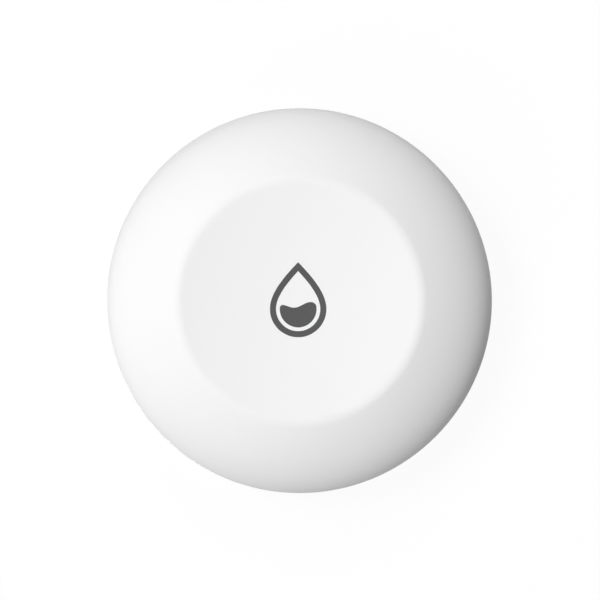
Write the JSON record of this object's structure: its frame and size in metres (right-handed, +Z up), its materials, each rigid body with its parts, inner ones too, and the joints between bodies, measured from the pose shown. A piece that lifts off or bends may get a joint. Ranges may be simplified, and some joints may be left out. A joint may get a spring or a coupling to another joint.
{
  "type": "water leak sensor",
  "caption": "Round pebble-shaped water leak sensor with a press dish on top, probe screws underneath and a coin-turned battery cover.",
  "frame": {"origin": "on the floor under the middle of the housing", "axes": "+Z up along the housing's axis, X through the two probe screws"},
  "size_m": [0.05, 0.05, 0.015],
  "materials": {
    "white_shell": "fine matte moulded plastic",
    "seal_rubber": "black silicone rubber",
    "cell_steel": "nickel-plated steel",
    "contact_metal": "nickel-plated spring sheet",
    "probe_metal": "polished stainless steel",
    "standoff_brass": "turned brass",
    "board_green": "solder mask on glass epoxy",
    "chip_black": "moulded epoxy",
    "ceramic_tan": "ceramic with tinned ends",
    "antenna_copper": "gold-flashed copper foil",
    "lamp_resin": "clear yellowish resin",
    "mark_ink": "dark grey printed ink"
  },
  "bodies": {
    "housing": {"top_cover": "white_shell", "flex_ring": "white_shell", "base_shell": "white_shell", "cover_gasket": "seal_rubber", "coin_cell": "cell_steel", "cell_positive_contact": "contact_metal", "cell_negative_contact": "contact_metal", "probe_screws": "probe_metal", "probe_seals": "seal_rubber", "probe_standoffs": "standoff_brass", "circuit_board": "board_green", "board_screws": "probe_metal", "radio_chip": "chip_black", "crystal": "contact_metal", "chip_passives": "ceramic_tan", "antenna_trace": "antenna_copper", "status_led": "lamp_resin", "switch_body": "chip_black", "switch_cover_plate": "contact_metal", "switch_snap_dome": "contact_metal"},
    "press_dish": {"press_dish": "white_shell"},
    "switch_plunger": {"switch_plunger": "chip_black"},
    "battery_cover": {"battery_cover": "white_shell", "battery_cover_seal": "seal_rubber"}
  },
  "joints": [
    {"name": "dish_press", "type": "slide", "parent": "housing", "child": "press_dish", "axis": [0, 0, -1], "range_m": [0, 0.0003], "stiffness_N_per_m": 8000, "springref_m": -0.0001, "deforming": ["flex_ring"]},
    {"name": "switch_press", "type": "slide", "parent": "housing", "child": "switch_plunger", "axis": [0, 0, -1], "range_m": [0, 0.0003], "deforming": ["switch_snap_dome"]},
    {"name": "battery_cover_twist", "type": "hinge", "parent": "housing", "child": "battery_cover", "pos_m": [0, 0, 0.0008], "axis": [0, 0, -1], "range_deg": [0, 45]}
  ],
  "couplings": [
    {"joint": "switch_press", "follows": "dish_press", "ratio": 1}
  ]
}
